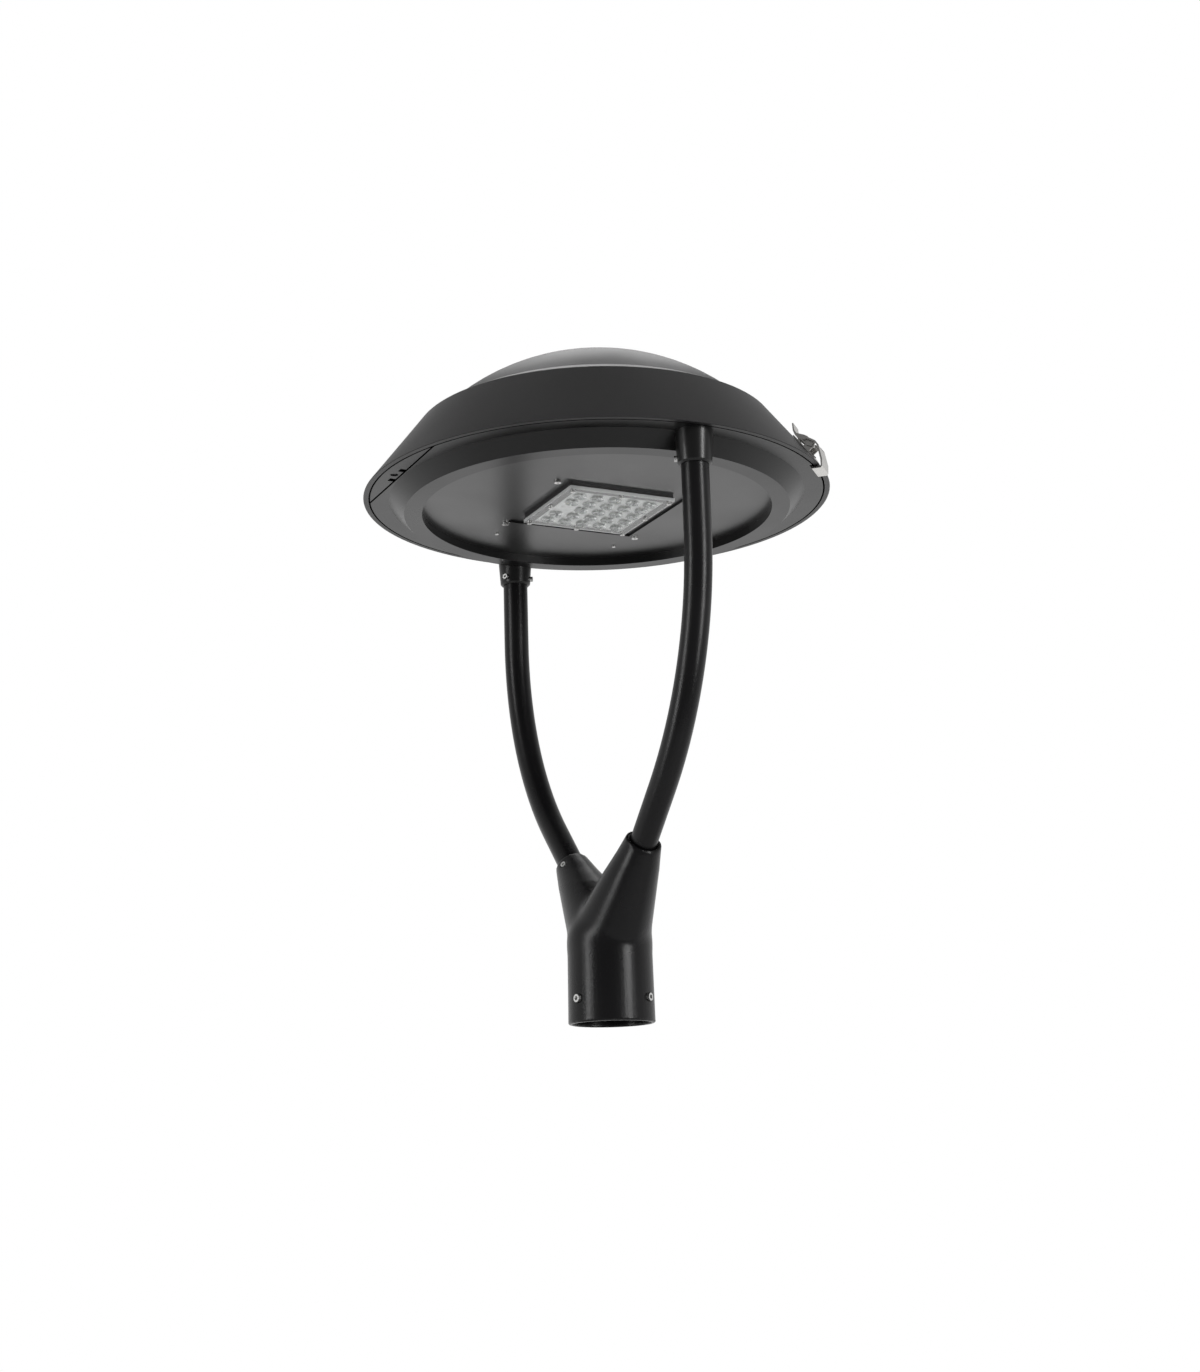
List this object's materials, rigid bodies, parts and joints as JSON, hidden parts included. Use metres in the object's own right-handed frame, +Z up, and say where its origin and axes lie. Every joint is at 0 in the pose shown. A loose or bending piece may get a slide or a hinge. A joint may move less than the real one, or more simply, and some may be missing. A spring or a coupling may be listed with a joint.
{
  "type": "street light head",
  "caption": "Round street light head: domed hood hinged over a cast tray with an LED lens module, on two bent tubes joined by a forked collar for a post top",
  "frame": {"origin": "centre of the forked collar's bottom face, on the lamp's upright axis", "axes": "+Z up along the lamp's axis; the two tubes lie along -Y and +Y; the hood's hinge is at -X and its latch between +X and -Y"},
  "size_m": [0.5, 0.5, 0.7148],
  "materials": {
    "hood_coat": "satin black powder coat",
    "tray_coat": "satin dark grey powder coat",
    "plate_coat": "satin dark grey powder coat",
    "arm_coat": "fine textured black powder coat",
    "stainless": "plain stainless",
    "latch_steel": "pressed stainless sheet",
    "seal_rubber": "matt",
    "sink_metal": "black anodised",
    "lens_clear": "clear moulded lens plastic",
    "board_white": "white solder mask",
    "chip_yellow": "phosphor",
    "driver_case": "plain",
    "block_plastic": "matt",
    "guard_plastic": "matt",
    "brass_screw": "plain"
  },
  "bodies": {
    "base": {"tray_ring": "tray_coat", "hinge_pin": "stainless", "arm_tube_near": "arm_coat", "arm_tube_far": "arm_coat", "post_collar": "arm_coat", "collar_set_screws": "stainless", "branch_grub_screws": "stainless", "socket_set_screws": "stainless", "cable_grommets": "seal_rubber", "base_plate": "plate_coat", "ring_screws": "stainless", "module_gasket": "seal_rubber", "heat_sink": "sink_metal", "lens_gasket": "seal_rubber", "lens_plate": "lens_clear", "lens_screws": "stainless", "led_board": "board_white", "led_chips": "chip_yellow", "module_screws": "stainless", "driver": "driver_case", "terminal_block": "block_plastic", "surge_protector": "guard_plastic", "driver_screws": "stainless", "stud_nuts": "stainless", "earth_nut": "brass_screw"},
    "hood": {"hood_shell": "hood_coat", "hinge_segment": "tray_coat", "segment_nuts": "stainless", "latch_base": "latch_steel", "latch_rivets": "stainless", "latch_pin": "latch_steel"},
    "lever": {"latch_lever": "latch_steel"},
    "hook": {"latch_hook": "latch_steel"}
  },
  "joints": [
    {"name": "hood_hinge", "type": "hinge", "parent": "base", "child": "hood", "pos_m": [-0.2281, 0, 0.5646], "axis": [0, -1, 0], "range_deg": [0, 60]},
    {"name": "latch_lever_turn", "type": "hinge", "parent": "hood", "child": "lever", "pos_m": [0.17007, -0.17007, 0.5848], "axis": [0.7071, 0.7071, 0], "range_deg": [0, 150]},
    {"name": "latch_hook_turn", "type": "hinge", "parent": "lever", "child": "hook", "pos_m": [0.16564, -0.16564, 0.59133], "axis": [0.7071, 0.7071, 0], "range_deg": [-150, 0]}
  ],
  "couplings": [
    {"joint": "latch_hook_turn", "follows": "latch_lever_turn", "ratio": -1}
  ]
}
